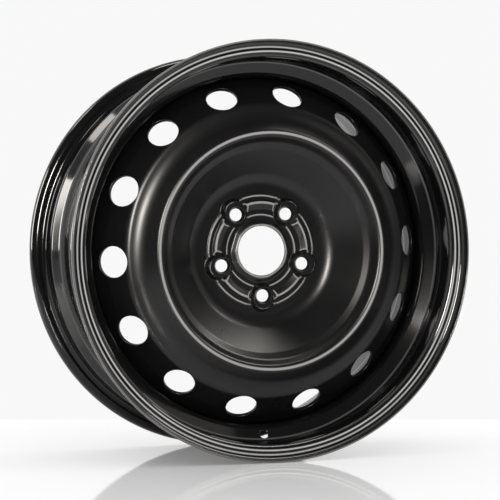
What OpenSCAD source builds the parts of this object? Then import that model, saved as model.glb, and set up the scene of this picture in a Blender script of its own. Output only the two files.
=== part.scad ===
// Stamped steel road wheel: a roll-formed drop-centre rim, a pressed centre disc
// seated in the drop well, and the fillet welds that join the two at the back.
// The wheel stands upright: its axle is the Y axis, the outboard face looks to -Y,
// and the origin is on the axle at the hub mounting face.

/* [Rim] */
// Diameter over the bead seats, at the flange faces
rim_diameter = 462; // [448:0.5:480]
// Width between the two flange faces
rim_width = 190.5; // [176:0.5:206]
// Distance from the hub mounting face to the middle of the rim, towards the vehicle
wheel_offset = 42; // [32:0.5:52]
// Thickness of the rolled rim sheet
rim_sheet = 2.8; // [2.2:0.1:3.4]
// Height of each flange over the bead seat
flange_height = 17.5; // [16.5:0.1:20]
// Outer radius of the rolled flange curl
curl_r = 9.5; // [8:0.1:10.4]
// Straight length of the lip past the curl
lip_length = 2; // [0.5:0.1:4]
// Radius between the flange face and the bead seat
heel_r = 6.5; // [5:0.1:7.4]
// Width of each bead seat
seat_width = 20; // [16:0.5:23]
// Slope of each bead seat, in degrees
seat_taper = 5; // [4:0.5:6]
// Height of the safety hump over the end of the bead seat
hump_height = 1.3; // [0.6:0.1:2]
// Width of the safety hump
hump_width = 14; // [12:0.5:17]
// Depth of the drop well below the bead seat
well_depth = 19.5; // [17:0.5:23]
// Width of the bottom of the drop well
well_width = 46; // [41:0.5:52]
// Slope of the outboard well wall against the axle, in degrees
well_wall_angle = 59; // [52:1:66]
// Depth of the inboard ledge below the bead seat
ledge_depth = 9; // [7:0.5:12]
// Slope of the wall from the drop well up to the inboard ledge, in degrees
ledge_wall_angle = 41; // [36:1:50]
// Slope from the inboard ledge up to the inboard hump, in degrees
ledge_rise_angle = 32; // [26:1:38]

/* [Valve hole] */
// Diameter of the valve hole
valve_hole_d = 11.3; // [10:0.1:13]
// Place of the valve hole round the wheel, in degrees from the right-hand side, downwards
valve_angle = 90; // [80:1:100]

/* [Disc] */
// Thickness of the pressed disc sheet
disc_sheet = 4.5; // [3.8:0.1:5]
// Radial clearance between the disc skirt and the drop well
disc_fit = 0.05; // [0.02:0.01:0.2]
// Radius where the hub plate turns up into the bowl
bowl_floor_r = 91.5; // [88:0.5:94]
// Bend radius at the foot of the bowl
bowl_bend_r = 32; // [26:1:34]
// Radial width of the ledge in the bowl's wall
bowl_ledge_w = 7; // [6.4:0.1:8]
// Axial drop across the ledge
bowl_ledge_drop = 2.8; // [2:0.1:3.4]
// Radial width of the brow between the ledge and the crown
brow_w = 10; // [9.8:0.1:12]
// Axial drop from the crown to the ledge
brow_drop = 10.7; // [9.5:0.1:12]
// Depth of the crown behind the outboard flange face
crown_depth = 1; // [0:0.5:6]
// Radius of the crown edge
crown_bend_r = 7; // [6:0.1:9]
// Radial width of the slope from the crown to the shoulder groove
crown_slope_w = 21.5; // [17:0.5:26]
// Axial drop from the crown to the shoulder groove
crown_drop = 17.5; // [13:0.5:21]
// Radial width of the shoulder between the groove and the vent face
shoulder_w = 14.5; // [13:0.5:18]
// Axial drop across the shoulder
shoulder_drop = 3; // [1.5:0.5:4.5]
// Radial width of the vent face
vent_face_w = 20.5; // [17:0.5:24]
// Axial drop across the vent face
vent_face_drop = 20; // [17:0.5:23]
// Radial width of the turn from the vent face to the skirt
skirt_turn_w = 13.7; // [12:0.1:16]
// Axial drop of the turn from the vent face to the skirt
skirt_turn_drop = 17; // [15:0.5:20]
// Length of the skirt that is seated in the drop well
skirt_length = 24; // [18:0.5:28]

/* [Vent holes] */
// Number of vent holes
vent_count = 14; // [8:1:16]
// Diameter of the vent holes
vent_d = 37; // [28:0.5:38]
// Place of the first vent hole, in degrees from the right-hand side, downwards
vent_angle = -81; // [-90:1:90]
// Distance of the vent hole centres from the inner edge of the vent face
vent_inset = 14; // [11:0.5:16]

/* [Hub] */
// Diameter of the centre bore
bore_d = 59.4; // [54:0.1:61]
// Height of the raised collar round the centre bore
collar_height = 3.3; // [2.6:0.1:3.8]
// Radial width of the collar's slope
collar_slope_w = 5.4; // [4:0.1:6]
// Width of the flat edge on the collar
collar_edge_w = 1.4; // [0.8:0.1:2]
// Depth of the hollow behind the collar
collar_relief = 6.3; // [4:0.1:6.6]
// Reach of the collar's corners towards the bolt holes, past its flats
collar_corner = 1.4; // [0.8:0.1:2.4]
// Height of the coined ring that the bolt bosses stand on
ring_height = 1.2; // [0.6:0.1:1.6]
// Inner radius of the coined ring at its foot
ring_inner_r = 41.8; // [41:0.1:43]
// Outer radius of the coined ring at its foot
ring_outer_r = 68.3; // [66:0.1:70]
// Radial width of the coined ring's sloped edges
ring_edge_w = 1.6; // [1:0.1:2]
// Inner radius of the kidney ribs between the bolt holes, at their foot
rib_inner_r = 50.4; // [48:0.1:52]
// Outer radius of the kidney ribs at their foot
rib_outer_r = 61.4; // [60.6:0.1:63]
// Height of the kidney ribs over the coined ring
rib_height = 3.3; // [2:0.1:3.8]
// Slope of the kidney ribs' inner side, in degrees
rib_slope = 28; // [26:1:34]
// Radial width of the kidney ribs' steep outer side
rib_outer_w = 2.6; // [2:0.1:3]
// Radius round each bolt hole that the kidney ribs keep clear of
rib_gap_r = 15.6; // [15.2:0.1:18]
// Depth of the pocket that each bolt boss stands in, below the coined ring's top
pocket_depth = 0.2; // [0.1:0.05:0.4]
// Lean of the kidney ribs' ends, as run over rise
rib_end_slope = 0.8; // [0.4:0.1:1.2]
// Depth of the round groove behind the ribs
rib_relief_depth = 3.4; // [1.5:0.1:3.8]

/* [Bolt holes] */
// Diameter of the bolt circle
bolt_circle_d = 108; // [104:0.1:110]
// Number of bolt holes
bolt_count = 5; // [4:1:5]
// Place of the first bolt hole, in degrees from the right-hand side, downwards
bolt_angle = -55.3; // [-72:0.1:72]
// Diameter of the bolt holes
bolt_hole_d = 15; // [13:0.1:15.6]
// Largest diameter of the conical seats
seat_d = 19.6; // [18:0.1:20.4]
// Included angle of the conical seats, in degrees
seat_angle = 60; // [58:1:70]
// Height of the bolt bosses over the hub plate
boss_height = 7.2; // [6:0.1:8]
// Diameter of the bolt bosses at their top
boss_top_d = 22; // [21:0.1:23]
// Radial width of the bosses' sloped sides
boss_slope_w = 4.4; // [3.5:0.1:5]
// Reach of the bosses outwards, past the bolt circle
boss_reach = 3.6; // [2:0.1:5]
// How much wider the bosses' outer end is, on each side
boss_flare = 1; // [0.5:0.1:1.5]
// Depth of the hollow behind each boss
boss_relief = 6.5; // [5:0.1:6.8]
// Diameter of the hollow behind each boss, at its deep end
boss_relief_d = 17.4; // [16.6:0.1:18.4]

/* [Welds] */
// Number of weld beads
weld_count = 8; // [4:1:10]
// Length of each weld bead, in degrees
weld_arc = 27; // [15:1:32]
// Leg of the weld beads
weld_leg = 4; // [3:0.1:4.2]
// Clearance between a weld bead and the faces that it joins
weld_fit = 0.02; // [0.01:0.01:0.1]

/* [Hidden] */
$fn = 144;
// Overlap that a joined or cut shape is carried past the face that it meets
overlap = 1;
// Length that cuts a hole clean through the sheet
through = 16;
// Largest angle between two points of a bend
bend_step = 7.5;
// Points of a full-round edge
round_steps = 8;
paint = [0.04, 0.04, 0.045];
weld_paint = [0.07, 0.07, 0.075];

// Rim stations: radii first, then places along the axle
bead_r = rim_diameter / 2;
flange_r = bead_r + flange_height;
well_r = bead_r - well_depth;
well_inner_r = well_r - rim_sheet;
ledge_r = bead_r - ledge_depth;
seat_end_r = bead_r - seat_width * tan(seat_taper);
hump_r = seat_end_r + hump_height;
front_face = wheel_offset - rim_width / 2;
back_face = wheel_offset + rim_width / 2;
wall_top = front_face + seat_width + hump_width;
wall_run = (hump_r - well_r) / tan(well_wall_angle);
well_start = wall_top + wall_run;
well_end = well_start + well_width;
ledge_start = well_end + (ledge_r - well_r) / tan(ledge_wall_angle);
hump_back = back_face - seat_width - hump_width / 2;
ledge_end = hump_back - (hump_r - ledge_r) / tan(ledge_rise_angle);

// Bend radii of the rim sheet
hump_bend_r = 7;
wall_bend_r = 8;
well_bend_r = 9;
ledge_bend_r = 12;

// Tyre side of the rim, from the outboard lip to the inboard lip: radius, place, bend radius
RIM_PATH = [
    [flange_r, front_face - curl_r - lip_length],
    [flange_r, front_face, curl_r],
    [bead_r, front_face, heel_r],
    [seat_end_r, front_face + seat_width, hump_bend_r],
    [hump_r, front_face + seat_width + hump_width / 2, hump_bend_r],
    [hump_r, wall_top, wall_bend_r],
    [well_r, well_start, well_bend_r],
    [well_r, well_end, well_bend_r],
    [ledge_r, ledge_start, ledge_bend_r],
    [ledge_r, ledge_end, ledge_bend_r],
    [hump_r, hump_back, hump_bend_r],
    [seat_end_r, back_face - seat_width, hump_bend_r],
    [bead_r, back_face, heel_r],
    [flange_r, back_face, curl_r],
    [flange_r, back_face + curl_r + lip_length]
];

// Disc stations, worked inwards from the skirt that seats in the drop well
skirt_r = well_inner_r - disc_fit;
vent_face_outer_r = skirt_r - skirt_turn_w;
vent_face_inner_r = vent_face_outer_r - vent_face_w;
groove_r = vent_face_inner_r - shoulder_w;
crown_r = groove_r - crown_slope_w;
hub_front = -disc_sheet;
crown_y = front_face + crown_depth;
brow_r = crown_r - brow_w;
brow_y = crown_y + brow_drop;
groove_y = crown_y + crown_drop;
vent_face_inner_y = groove_y + shoulder_drop;
vent_face_outer_y = vent_face_inner_y + vent_face_drop;
skirt_y = vent_face_outer_y + skirt_turn_drop;
skirt_end = skirt_y + skirt_length;

// Bend radii of the disc sheet
bowl_ledge_bend_r = 12;
groove_bend_r = 8;
shoulder_bend_r = 14;
vent_bend_r = 25;
skirt_bend_r = 14;

// Outboard side of the disc, from the coined ring to the skirt edge: radius, place, bend radius
DISC_PATH = [
    [ring_outer_r, hub_front],
    [bowl_floor_r, hub_front, bowl_bend_r],
    [brow_r - bowl_ledge_w, brow_y + bowl_ledge_drop, bowl_ledge_bend_r],
    [brow_r, brow_y, bowl_ledge_bend_r],
    [crown_r, crown_y, crown_bend_r],
    [groove_r, groove_y, groove_bend_r],
    [vent_face_inner_r, vent_face_inner_y, shoulder_bend_r],
    [vent_face_outer_r, vent_face_outer_y, vent_bend_r],
    [skirt_r, skirt_y, skirt_bend_r],
    [skirt_r, skirt_end]
];

// Hub stations
bolt_circle_r = bolt_circle_d / 2;
bolt_step = 360 / bolt_count;
vent_step = 360 / vent_count;
vent_slope = atan2(vent_face_drop, vent_face_w);
vent_r = vent_face_inner_r + vent_inset;
vent_y = vent_face_inner_y + vent_inset * tan(vent_slope);
bore_r = bore_d / 2;
boss_top = hub_front - boss_height;
ring_top = hub_front - ring_height;
collar_top = hub_front - collar_height;
collar_top_r = bore_r + collar_edge_w;
collar_base_r = collar_top_r + collar_slope_w;
collar_lean = atan2(collar_slope_w, collar_height);
rib_top = ring_top - rib_height;
rib_crest_r = rib_inner_r + rib_height / tan(rib_slope);
rib_shoulder_r = rib_outer_r - rib_outer_w;
rib_middle_r = (rib_inner_r + rib_outer_r) / 2;

// Bend radii at the top of the kidney ribs
rib_crest_bend_r = 6;
rib_shoulder_bend_r = 1;

// Bead that the kidney ribs are cut from, from its inner foot to its outer foot
RIB_PATH = [
    [rib_inner_r, ring_top],
    [rib_crest_r, rib_top, rib_crest_bend_r],
    [rib_shoulder_r, rib_top, rib_shoulder_bend_r],
    [rib_outer_r, ring_top]
];

// Outboard side of the hub, from the bore outwards
HUB_FRONT = concat(
    [
        [bore_r - overlap, hub_front],
        [ring_inner_r, hub_front],
        [ring_inner_r + ring_edge_w, ring_top]
    ],
    side_points(RIB_PATH, 0),
    [[ring_outer_r - ring_edge_w, ring_top]]
);

// Mounting side of the hub, from outside in, with a round groove behind the ribs
HUB_BACK = concat(
    [for (k = [0 : round_steps])
        [rib_middle_r, 0] + rib_relief_depth * turned([1, 0], -180 * k / round_steps)],
    [[bore_r - overlap, 0]]
);

// Directions and turns along a path of [radius, place, bend radius] stations
function unit(v) = v / norm(v);
function left_of(d) = [-d[1], d[0]];
function station(p, i) = [p[i][0], p[i][1]];
function heading(p, i) = unit(station(p, i + 1) - station(p, i));
function turned(v, angle) = v[0] * [cos(angle), sin(angle)] + v[1] * [-sin(angle), cos(angle)];
function cross_z(a, b) = a[0] * b[1] - a[1] * b[0];
function turn(p, i) =
    let (before = heading(p, i - 1), after = heading(p, i))
    atan2(cross_z(before, after), before * after);
function setback(p, i) = (i == 0 || i == len(p) - 1) ? 0 : p[i][2] * tan(abs(turn(p, i)) / 2);

// Points of the bend at station i on the sheet's side that lies off to the left of the path
function bend_points(p, i, off) =
    let (
        angle = turn(p, i),
        side = sign(angle),
        steps = max(1, ceil(abs(angle) / bend_step)),
        out = -side * left_of(heading(p, i - 1)),
        centre = station(p, i) - heading(p, i - 1) * setback(p, i) - out * p[i][2],
        r = p[i][2] - side * off
    )
    [for (k = [0 : steps]) centre + r * turned(out, angle * k / steps)];

// One side of the sheet, from the first station to the last
function side_points(p, off) =
    let (last = len(p) - 1)
    concat(
        [station(p, 0) + left_of(heading(p, 0)) * off],
        [for (i = [1 : last - 1]) each bend_points(p, i, off)],
        [station(p, last) + left_of(heading(p, last - 1)) * off]
    );

// Half round from one side of the sheet to the other, past its end in direction d
function end_round(mid, d, r) =
    [for (k = [1 : round_steps - 1]) mid + r * turned(d, -90 + 180 * k / round_steps)];

function reversed(list) = [for (i = [len(list) - 1 : -1 : 0]) list[i]];

// Outline of one bent sheet of thickness t with full-round ends; it lies to the left of its path
function rounded_sheet(p, t) =
    let (
        last = len(p) - 1,
        d_start = heading(p, 0),
        d_end = heading(p, last - 1)
    )
    concat(
        side_points(p, 0),
        end_round(station(p, last) + left_of(d_end) * t / 2, d_end, t / 2),
        reversed(side_points(p, t)),
        end_round(station(p, 0) + left_of(d_start) * t / 2, -d_start, t / 2)
    );

// Turns the axle from the vertical, as revolved, to the Y axis
module upright() {
    rotate([-90, 0, 0]) children();
}

// Rolled rim with full-round lip edges and the valve hole through the outboard well wall
module rim() {
    valve_r = (hump_r + well_r) / 2;
    valve_y = (wall_top + well_start) / 2;
    color(paint) upright() difference() {
        rotate_extrude() polygon(rounded_sheet(RIM_PATH, rim_sheet));
        rotate([0, 0, valve_angle]) translate([valve_r, 0, valve_y])
            rotate([0, 90 - well_wall_angle, 0])
                cylinder(d = valve_hole_d, h = 2 * through, center = true);
    }
}

// Cone that stands on the hub plate and narrows outboard; its foot is sunk into the plate
module raised_cone(top_r, slope_w, height) {
    foot_r = top_r + slope_w * (height + overlap) / height;
    translate([0, 0, hub_front - height]) cylinder(r1 = top_r, r2 = foot_r, h = height + overlap);
}

// Raised collar round the centre bore, with flats between the bolt holes and corners towards them
module collar() {
    reach = 2 * collar_base_r;
    difference() {
        raised_cone(collar_top_r + collar_corner, collar_slope_w, collar_height);
        for (k = [0 : bolt_count - 1])
            rotate([0, 0, bolt_angle + (k + 0.5) * bolt_step])
                translate([collar_base_r, 0, hub_front])
                    rotate([0, collar_lean, 0]) translate([0, -reach / 2, -reach / 2]) cube(reach);
    }
}

// Hollow behind the collar, so that only a thin edge is left at the bore
module collar_hollow() {
    back_r = collar_top_r + collar_slope_w * (collar_relief + overlap) / collar_relief;
    translate([0, 0, -collar_relief])
        cylinder(r1 = collar_top_r, r2 = back_r, h = collar_relief + overlap);
}

// Shallow pocket round a bolt boss, where the bead on the bolt circle is cut away to leave kidney ribs
module rib_gap() {
    depth = rib_height + overlap + pocket_depth;
    translate([0, 0, rib_top - overlap])
        cylinder(r1 = rib_gap_r + depth * rib_end_slope, r2 = rib_gap_r, h = depth);
}

// Repeats a shape at the bolt holes
module at_bolts() {
    for (k = [0 : bolt_count - 1])
        rotate([0, 0, bolt_angle + k * bolt_step]) translate([bolt_circle_r, 0, 0]) children();
}

// Bolt boss that reaches a little outwards from its hole
module bolt_boss() {
    raised_cone(boss_top_d / 2, boss_slope_w, boss_height);
    translate([boss_reach, 0, 0]) raised_cone(boss_top_d / 2 + boss_flare, boss_slope_w, boss_height);
}

// Bolt hole with its conical seat and the hollow behind the boss
module bolt_hole() {
    relief_r = boss_relief_d / 2;
    back_r = relief_r + boss_slope_w * (boss_relief + overlap) / boss_relief;
    seat_lean = tan(seat_angle / 2);
    seat_run = (seat_d - bolt_hole_d) / 2 / seat_lean;
    translate([0, 0, boss_top - overlap]) cylinder(d = bolt_hole_d, h = through);
    translate([0, 0, boss_top - overlap])
        cylinder(d1 = seat_d + 2 * overlap * seat_lean, d2 = bolt_hole_d, h = seat_run + overlap);
    translate([0, 0, -boss_relief]) cylinder(r1 = relief_r, r2 = back_r, h = boss_relief + overlap);
}

// Ring of vent holes punched square to the vent face
module vent_holes() {
    for (k = [0 : vent_count - 1])
        rotate([0, 0, vent_angle + k * vent_step]) translate([vent_r, 0, vent_y])
            rotate([0, -vent_slope, 0]) cylinder(d = vent_d, h = 2 * through, center = true);
}

// Pressed disc: bowl, crown, vent face and skirt, with the coined hub
module disc() {
    outline = concat(
        HUB_FRONT,
        side_points(DISC_PATH, 0),
        reversed(side_points(DISC_PATH, disc_sheet)),
        HUB_BACK
    );
    color(paint) upright() difference() {
        union() {
            difference() {
                rotate_extrude() polygon(outline);
                at_bolts() rib_gap();
            }
            collar();
            at_bolts() bolt_boss();
        }
        translate([0, 0, collar_top - overlap]) cylinder(d = bore_d, h = through);
        collar_hollow();
        at_bolts() bolt_hole();
        vent_holes();
    }
}

// One fillet bead in the corner between the skirt edge and the drop well
module weld_bead() {
    bead_out = well_inner_r - weld_fit;
    bead_start = skirt_end + weld_fit;
    corner = [bead_out, bead_start];
    fillet = [for (k = [0 : round_steps]) corner + weld_leg * turned([0, 1], 90 * k / round_steps)];
    rotate([0, 0, -weld_arc / 2])
        rotate_extrude(angle = weld_arc) polygon(concat([corner], fillet));
}

// Intermittent weld beads, evenly spaced
module weld_beads() {
    color(weld_paint) upright()
        for (k = [0 : weld_count - 1])
            rotate([0, 0, (k + 0.5) * 360 / weld_count]) weld_bead();
}

rim();
disc();
weld_beads();
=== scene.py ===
"""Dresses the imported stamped-steel road wheel: fine skins, black paint and a white studio.

Sizes are in millimetres and meshes are made in metres. The axle is the Y axis, the
outboard face looks to -Y, and angles round the wheel run from its right-hand side
downwards, as in the solids.
"""

import logging
import math
from dataclasses import dataclass, field
from enum import Enum
from typing import Callable, ClassVar, Sequence

import bpy
import numpy as np
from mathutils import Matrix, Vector

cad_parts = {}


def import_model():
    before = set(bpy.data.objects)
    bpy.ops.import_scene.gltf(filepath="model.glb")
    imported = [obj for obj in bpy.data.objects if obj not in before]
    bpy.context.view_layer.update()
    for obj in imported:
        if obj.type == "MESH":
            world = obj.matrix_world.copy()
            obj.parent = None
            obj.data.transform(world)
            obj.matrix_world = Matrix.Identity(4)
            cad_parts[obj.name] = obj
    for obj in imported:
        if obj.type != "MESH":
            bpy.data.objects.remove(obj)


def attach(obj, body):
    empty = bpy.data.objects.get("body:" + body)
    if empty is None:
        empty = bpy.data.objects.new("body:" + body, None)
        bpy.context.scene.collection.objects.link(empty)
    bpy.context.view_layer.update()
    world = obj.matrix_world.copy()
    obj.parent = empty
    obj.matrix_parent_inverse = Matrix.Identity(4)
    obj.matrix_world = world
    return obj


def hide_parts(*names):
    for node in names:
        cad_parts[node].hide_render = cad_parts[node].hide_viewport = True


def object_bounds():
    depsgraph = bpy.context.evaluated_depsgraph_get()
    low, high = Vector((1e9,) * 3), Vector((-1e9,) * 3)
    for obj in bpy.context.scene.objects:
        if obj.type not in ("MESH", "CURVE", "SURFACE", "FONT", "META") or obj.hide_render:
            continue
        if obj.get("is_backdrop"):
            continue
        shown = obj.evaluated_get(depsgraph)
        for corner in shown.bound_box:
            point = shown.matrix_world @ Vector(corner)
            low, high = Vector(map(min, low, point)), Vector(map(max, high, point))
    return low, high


LOG = logging.getLogger("steel_wheel")
MM = 0.001
MICRON = 1e-6
WHITE = (1.0, 1.0, 1.0, 1.0)
OUTBOARD = np.array([0.0, -1.0, 0.0])

# Turns of the rows that roll an edge into a wall, in degrees.
ROLLED = (30.0, 60.0, 90.0)

# The mask of painted highlights rises between two curvatures, per millimetre. On the crest of a
# bend it also rises between two lower ones, by how squarely the crest faces outboard.
EDGE_HIGHLIGHT = "edge"
SHARP = (0.16, 0.5)
CREST_BEND = (0.1, 0.14)
CREST_TILT = (0.965, 0.99)
SHORTEST_SQUARE = 1e-4

Number = np.ndarray | float
Height = Callable[[np.ndarray, np.ndarray], np.ndarray]
Placer = Callable[[np.ndarray], tuple[np.ndarray, np.ndarray]]
Tree = bpy.types.NodeTree
Socket = bpy.types.NodeSocket


def unit(vector: np.ndarray) -> np.ndarray:
    """Returns vectors scaled to length one along their last axis."""
    return vector / np.linalg.norm(vector, axis=-1, keepdims=True)


def left_of(heading: np.ndarray) -> np.ndarray:
    """Returns the directions a quarter turn to the left of 2D headings."""
    return np.stack([-heading[..., 1], heading[..., 0]], axis=-1)


def turned(vector: np.ndarray, angle: float) -> np.ndarray:
    """Returns a 2D vector turned by an angle in radians."""
    return vector * math.cos(angle) + left_of(vector) * math.sin(angle)


def smooth_max(a: np.ndarray, b: np.ndarray, blend: float) -> np.ndarray:
    """Returns the larger of two heights with a fillet of about the blend's size."""
    near = np.maximum(blend - np.abs(a - b), 0.0)
    return np.maximum(a, b) + near * near / (4.0 * blend)


def smooth_min(a: np.ndarray, b: np.ndarray, blend: float) -> np.ndarray:
    """Returns the smaller of two heights with a round of about the blend's size."""
    return -smooth_max(-a, -b, blend)


def ramp(value: np.ndarray, limits: tuple[float, float]) -> np.ndarray:
    """Returns the share of the way from the first limit to the second, from 0 to 1."""
    return np.clip((value - limits[0]) / (limits[1] - limits[0]), 0.0, 1.0)


def onward(angle: float) -> np.ndarray:
    """Returns the direction round the wheel at an angle."""
    return np.array([-math.sin(angle), 0.0, -math.cos(angle)])


def round_wheel(radius: Number, place: Number, angle: Number) -> np.ndarray:
    """Turns radius, place along the axle and angle into points.

    Args:
        radius: Distances from the axle.
        place: Places along the axle.
        angle: Angles from the right-hand side downwards, in radians.

    Returns:
        Points with x, y and z on the last axis.
    """
    across, up = radius * np.cos(angle), -radius * np.sin(angle)
    return np.stack(np.broadcast_arrays(across, place, up), axis=-1)


@dataclass(frozen=True)
class Station:
    """Corner of a sheet's path: radius, place along the axle and bend radius."""

    r: float
    y: float
    bend: float = 0.0


@dataclass(frozen=True)
class Profile:
    """Run of section points with the surface normal at each, as radius and place."""

    points: np.ndarray
    normals: np.ndarray

    @staticmethod
    def joined(runs: Sequence["Profile"]) -> "Profile":
        """Returns one profile from several that follow each other."""
        return Profile(np.vstack([r.points for r in runs]), np.vstack([r.normals for r in runs]))

    def reversed(self) -> "Profile":
        """Returns the profile run from its last point to its first."""
        return Profile(self.points[::-1], self.normals[::-1])

    def part(self, keep: np.ndarray | slice) -> "Profile":
        """Returns the points that a mask or a slice keeps."""
        return Profile(self.points[keep], self.normals[keep])

    def revolved(self, angles: np.ndarray) -> tuple[np.ndarray, np.ndarray]:
        """Turns the profile round the axle.

        Args:
            angles: Angles of the columns, in radians.

        Returns:
            Points and normals, by row of the profile and column.
        """
        r, y = self.points[:, :1], self.points[:, 1:]
        nr, ny = self.normals[:, :1], self.normals[:, 1:]
        return round_wheel(r, y, angles[None, :]), round_wheel(nr, ny, angles[None, :])


@dataclass(frozen=True)
class BentSheet:
    """Sheet of even thickness that lies to the left of a path of straights and bends."""

    stations: tuple[Station, ...]
    thickness: float

    def side(self, far: bool, bend_step: float, longest: float) -> Profile:
        """Samples one side of the sheet.

        Args:
            far: True for the side away from the path.
            bend_step: Largest turn between two samples of a bend, in radians.
            longest: Largest distance between two samples of a straight.

        Returns:
            The side's profile from the first station to the last.
        """
        corners = np.array([[s.r, s.y] for s in self.stations])
        heads = unit(np.diff(corners, axis=0))
        offset = self.thickness if far else 0.0
        points = [corners[0] + left_of(heads[0]) * offset]
        along = [heads[0]]
        for i in range(1, len(corners) - 1):
            before, after, bend = heads[i - 1], heads[i], self.stations[i].bend
            angle = math.atan2(before[0] * after[1] - before[1] * after[0], float(before @ after))
            side = math.copysign(1.0, angle)
            setback = bend * math.tan(abs(angle) / 2)
            centre = corners[i] - before * setback + side * bend * left_of(before)
            steps = max(1, math.ceil(abs(angle) / bend_step))
            for k in range(steps + 1):
                heading = turned(before, angle * k / steps)
                points.append(centre - side * left_of(heading) * (bend - side * offset))
                along.append(heading)
        points.append(corners[-1] + left_of(heads[-1]) * offset)
        along.append(heads[-1])
        points, along = self._filled(points, along, longest)
        return Profile(points, left_of(along) * (1.0 if far else -1.0))

    @staticmethod
    def _filled(
        points: list[np.ndarray], along: list[np.ndarray], longest: float
    ) -> tuple[np.ndarray, np.ndarray]:
        """Adds samples along the long straights.

        Args:
            points: Points of the side.
            along: Heading at each point.
            longest: Largest distance between two samples.

        Returns:
            All points and the heading at each.
        """
        full, heads = [points[0]], [along[0]]
        for p, q, heading in zip(points[:-1], points[1:], along[1:]):
            count = max(1, math.ceil(float(np.linalg.norm(q - p)) / longest))
            for k in range(1, count + 1):
                full.append(p + (q - p) * k / count)
                heads.append(heading)
        return np.array(full), np.array(heads)

    def end_round(self, last: bool, steps: int) -> Profile:
        """Samples the full-round edge at one end of the sheet.

        Args:
            last: True for the end of the path, False for its start.
            steps: Number of steps round the half circle.

        Returns:
            The points between the two sides, without the sides' own.
        """
        ends = [np.array([s.r, s.y]) for s in (self.stations[-2:] if last else self.stations[:2])]
        heading = unit(ends[1] - ends[0])
        middle = (ends[1] if last else ends[0]) + left_of(heading) * self.thickness / 2
        forward = heading if last else -heading
        turns = [-math.pi / 2 + math.pi * k / steps for k in range(1, steps)]
        normals = np.array([turned(forward, a) for a in turns])
        return Profile(middle + normals * self.thickness / 2, normals)


@dataclass(frozen=True)
class HoleFrame:
    """Place of a round hole: its centre, two directions across it and its axis, outwards."""

    centre: np.ndarray
    across: np.ndarray
    along: np.ndarray
    axis: np.ndarray

    def plan(self, points: np.ndarray) -> np.ndarray:
        """Returns points as seen along the axis, in the two directions across the hole."""
        away = points - self.centre
        return np.stack([away @ self.across, away @ self.along], axis=-1)

    def lifted(self, plan: np.ndarray, height: np.ndarray) -> np.ndarray:
        """Returns points from their plan and their height along the axis."""
        flat = plan[..., :1] * self.across + plan[..., 1:] * self.along
        return self.centre + flat + np.asarray(height)[..., None] * self.axis


@dataclass(frozen=True)
class RevolvedSide:
    """One side of a revolved sheet near a hole, to find the surface along the hole's axis."""

    ROUNDS: ClassVar[int] = 14
    profile: Profile
    frame: HoleFrame
    angle: float

    def _section(self, points: np.ndarray) -> np.ndarray:
        """Returns points as radius and place along the axle."""
        return np.stack([np.hypot(points[..., 0], points[..., 2]), points[..., 1]], axis=-1)

    def place(self, plan: np.ndarray) -> tuple[np.ndarray, np.ndarray]:
        """Finds the surface under points of the hole's plan.

        Args:
            plan: Points across the hole, in its two directions.

        Returns:
            Points on the surface and its normals there.
        """
        out = np.array([math.cos(self.angle), 0.0, -math.sin(self.angle)])
        centre = self._section(self.frame.centre)
        tangent = np.array([self.frame.along @ out, self.frame.along[1]])
        normal = np.array([self.frame.axis @ out, self.frame.axis[1]])
        run = (self.profile.points - centre) @ tangent
        rise = (self.profile.points - centre) @ normal
        order = np.argsort(run)
        run, rise, normals = run[order], rise[order], self.profile.normals[order]
        height = np.interp(plan[:, 1], run, rise)
        for _ in range(self.ROUNDS):
            local = self._section(self.frame.lifted(plan, height)) - centre
            height = height - (local @ normal - np.interp(local @ tangent, run, rise))
        points = self.frame.lifted(plan, height)
        place = (self._section(points) - centre) @ tangent
        nr, ny = (np.interp(place, run, normals[:, k]) for k in (0, 1))
        angle = np.arctan2(-points[:, 2], points[:, 0])
        return points, unit(round_wheel(nr, ny, angle))


@dataclass(frozen=True)
class HoleMouth:
    """Ring of vertices on a hole's wall, and their rising angles round the hole."""

    ring: np.ndarray
    angles: np.ndarray


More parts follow.
